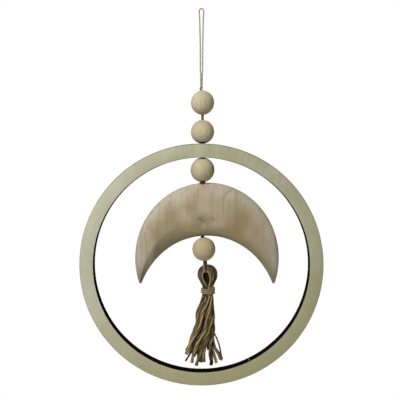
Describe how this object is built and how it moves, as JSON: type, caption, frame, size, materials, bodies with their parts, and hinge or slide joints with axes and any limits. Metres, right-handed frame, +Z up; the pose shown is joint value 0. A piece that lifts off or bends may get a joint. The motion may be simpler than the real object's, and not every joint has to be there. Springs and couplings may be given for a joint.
{
  "type": "crescent wall hanging",
  "caption": "Wall hanging on a looped twine: wooden beads and a flat wooden ring, with a carved crescent, horns down, and a yarn tassel hanging inside the ring.",
  "frame": {"origin": "the hanging point: where a nail bears on the underside of the twine's loop", "axes": "+Z up along the hanging twine, front faces -Y, the wall is on the +Y side, +X to the viewer's right"},
  "size_m": [0.305, 0.0296, 0.4709],
  "materials": {
    "bead_wood": "satin",
    "ring_wood": "matte",
    "crescent_wood": "satin",
    "twine": "matte",
    "yarn": "matte"
  },
  "bodies": {
    "hanger": {"hanging_loop": "twine"},
    "bead_1": {"bead_1": "bead_wood"},
    "stem": {"cord_left": "twine", "cord_right": "twine", "knot": "twine"},
    "bead_2": {"bead_2": "bead_wood"},
    "ring": {"ring": "ring_wood"},
    "bead_3": {"bead_3": "bead_wood"},
    "lower_cord": {"lower_twine": "twine"},
    "crescent": {"crescent": "crescent_wood"},
    "bead_4": {"bead_4": "bead_wood"},
    "tassel": {"yarn_1": "yarn", "yarn_2": "yarn", "yarn_3": "yarn", "yarn_4": "yarn", "yarn_5": "yarn", "yarn_6": "yarn", "yarn_7": "yarn", "yarn_8": "yarn", "yarn_9": "yarn", "tassel_wrap": "twine"}
  },
  "joints": [
    {"name": "bead_1_spin", "type": "hinge", "parent": "hanger", "child": "bead_1", "pos_m": [0.0013, 0, -0.1136], "axis": [0, 0, 1], "continuous": true},
    {"name": "ring_swing", "type": "hinge", "parent": "hanger", "child": "stem", "pos_m": [0.0013, 0, -0.1317], "axis": [0, 1, 0], "range_deg": [-30, 30]},
    {"name": "bead_2_spin", "type": "hinge", "parent": "stem", "child": "bead_2", "pos_m": [0.0013, 0, -0.1495], "axis": [0, 0, 1], "continuous": true},
    {"name": "ring_turn", "type": "hinge", "parent": "stem", "child": "ring", "pos_m": [0.0013, 0, -0.17275], "axis": [0, 0, 1], "continuous": true},
    {"name": "bead_3_spin", "type": "hinge", "parent": "stem", "child": "bead_3", "pos_m": [0.0013, 0, -0.1967], "axis": [0, 0, 1], "continuous": true},
    {"name": "crescent_swing", "type": "hinge", "parent": "stem", "child": "lower_cord", "pos_m": [0.0013, 0, -0.21515], "axis": [0, 1, 0], "range_deg": [-5, 5]},
    {"name": "crescent_turn", "type": "hinge", "parent": "lower_cord", "child": "crescent", "pos_m": [0.0013, 0, -0.246], "axis": [0, 0, 1], "continuous": true},
    {"name": "bead_4_spin", "type": "hinge", "parent": "lower_cord", "child": "bead_4", "pos_m": [0.00308, 0, -0.29621], "axis": [-0.1045, 0, 0.9945], "continuous": true},
    {"name": "tassel_swing", "type": "hinge", "parent": "lower_cord", "child": "tassel", "pos_m": [0.00576, 0, -0.32782], "axis": [0, 1, 0], "range_deg": [-15, 15]}
  ]
}
